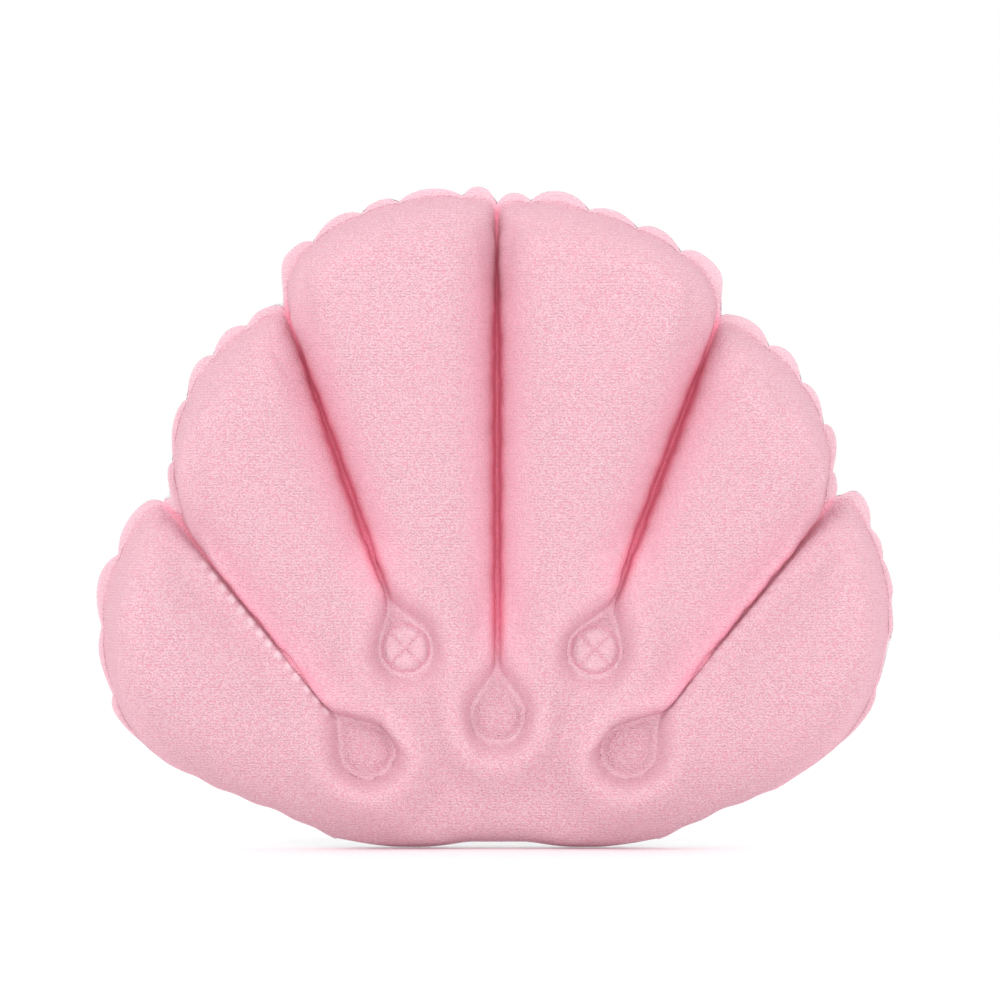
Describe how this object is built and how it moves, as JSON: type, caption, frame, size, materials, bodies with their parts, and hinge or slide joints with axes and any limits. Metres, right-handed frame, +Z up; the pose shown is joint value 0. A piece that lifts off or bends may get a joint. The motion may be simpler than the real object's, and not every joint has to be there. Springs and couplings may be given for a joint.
{
  "type": "bath pillow",
  "caption": "Inflatable shell-shaped bath pillow with a towelling face, welded fan channels, push-in air valve and suction cups behind.",
  "frame": {"origin": "on the plane of the suction cup rims, midway between the two cups, where the pillow meets the tub wall", "axes": "+X to the right as seen from the front, +Y into the tub wall, +Z up; the towelling face looks towards -Y"},
  "size_m": [0.3976, 0.0759, 0.328],
  "materials": {
    "towelling": "looped pile",
    "face_vinyl": "soft film",
    "rear_vinyl": "soft film",
    "valve_vinyl": "soft moulded",
    "cup_vinyl": "clear moulded"
  },
  "bodies": {
    "pillow": {"terry_face": "towelling", "face_film": "face_vinyl", "rear_film": "rear_vinyl", "valve_base": "valve_vinyl", "valve_sleeve": "valve_vinyl", "left_cup_socket": "valve_vinyl", "right_cup_socket": "valve_vinyl"},
    "stem": {"valve_stem": "valve_vinyl"},
    "plug": {"valve_plug": "valve_vinyl"},
    "flap": {"valve_flap": "valve_vinyl"},
    "left_cup": {"left_suction_cup": "cup_vinyl"},
    "right_cup": {"right_suction_cup": "cup_vinyl"}
  },
  "joints": [
    {"name": "valve_push", "type": "slide", "parent": "pillow", "child": "stem", "axis": [0, -1, 0], "range_m": [0, 0.005], "deforming": ["valve_sleeve"]},
    {"name": "plug_strap", "type": "hinge", "parent": "stem", "child": "plug", "pos_m": [0, -0.00592, -0.0586], "axis": [1, 0, 0], "range_deg": [0, 150]},
    {"name": "flap_hinge", "type": "hinge", "parent": "stem", "child": "flap", "pos_m": [0, -0.01992, -0.0663], "axis": [-1, 0, 0], "range_deg": [0, 50], "stiffness_Nm_per_rad": 0.00002},
    {"name": "left_cup_spin", "type": "hinge", "parent": "pillow", "child": "left_cup", "pos_m": [-0.04659, 0, 0], "axis": [0, 1, 0], "continuous": true},
    {"name": "right_cup_spin", "type": "hinge", "parent": "pillow", "child": "right_cup", "pos_m": [0.04659, 0, 0], "axis": [0, 1, 0], "continuous": true}
  ]
}
